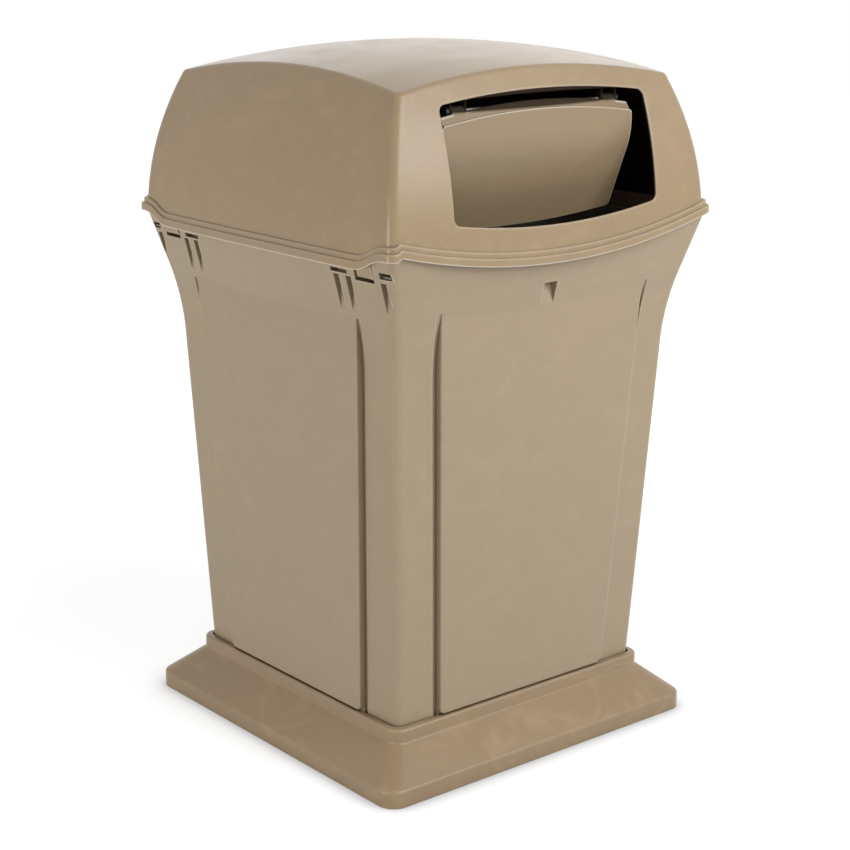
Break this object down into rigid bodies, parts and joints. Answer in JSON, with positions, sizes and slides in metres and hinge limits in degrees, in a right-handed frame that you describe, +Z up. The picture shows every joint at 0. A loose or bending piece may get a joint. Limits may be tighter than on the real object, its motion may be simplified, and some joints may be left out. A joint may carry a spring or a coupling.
{
  "type": "fire-safe waste container",
  "caption": "Free-standing square waste container with a flared body on a wide plinth, a domed tip-back hood with swing doors, and a lift-out steel liner.",
  "frame": {"origin": "centre of the plinth's underside, on the floor", "axes": "+Z up, -Y out of the front opening, -X towards the side on which the hood hinges"},
  "size_m": [0.632, 0.632, 1.054],
  "materials": {
    "plinth_plastic": "satin structural foam, finely pebbled",
    "body_plastic": "satin structural foam, finely pebbled",
    "hood_plastic": "satin structural foam, finely pebbled",
    "door_plastic": "satin moulded plastic",
    "pin_steel": "plain turned steel",
    "fastener_steel": "zinc-plated steel",
    "cap_plastic": "black push-on caps",
    "liner_steel": "galvanised sheet steel",
    "handle_steel": "galvanised steel wire"
  },
  "bodies": {
    "root": {"base_plinth": "plinth_plastic", "body_shell": "body_plastic", "base_bolts": "fastener_steel", "base_washers": "fastener_steel", "base_nuts": "fastener_steel", "hinge_pin_front": "pin_steel", "hinge_pin_rear": "pin_steel", "catch_pin_front": "pin_steel", "catch_pin_rear": "pin_steel"},
    "hood": {"hood_shell": "hood_plastic", "front_door_rod": "pin_steel", "rear_door_rod": "pin_steel", "front_rod_caps": "cap_plastic", "rear_rod_caps": "cap_plastic"},
    "front_door": {"front_door": "door_plastic"},
    "rear_door": {"rear_door": "door_plastic"},
    "liner": {"liner_wall": "liner_steel", "liner_base": "liner_steel", "liner_ears_left": "liner_steel", "liner_ears_right": "liner_steel", "liner_rivets": "fastener_steel"},
    "liner_handle_left": {"liner_handle_left": "handle_steel"},
    "liner_handle_right": {"liner_handle_right": "handle_steel"}
  },
  "joints": [
    {"name": "hood_hinge", "type": "hinge", "parent": "root", "child": "hood", "pos_m": [-0.291, 0, 0.768], "axis": [0, -1, 0], "range_deg": [0, 92]},
    {"name": "front_door_swing", "type": "hinge", "parent": "hood", "child": "front_door", "pos_m": [0, -0.2443, 0.977], "axis": [1, 0, 0], "range_deg": [-18, 70]},
    {"name": "rear_door_swing", "type": "hinge", "parent": "hood", "child": "rear_door", "pos_m": [0, 0.2443, 0.977], "axis": [-1, 0, 0], "range_deg": [-18, 70]},
    {"name": "liner_lift", "type": "slide", "parent": "root", "child": "liner", "axis": [0, 0, 1], "range_m": [0, 0.045]},
    {"name": "liner_handle_left_swing", "type": "hinge", "parent": "liner", "child": "liner_handle_left", "pos_m": [-0.2413, 0, 0.7014], "axis": [0, -1, 0], "range_deg": [0, 170]},
    {"name": "liner_handle_right_swing", "type": "hinge", "parent": "liner", "child": "liner_handle_right", "pos_m": [0.2413, 0, 0.7014], "axis": [0, 1, 0], "range_deg": [0, 170]}
  ]
}
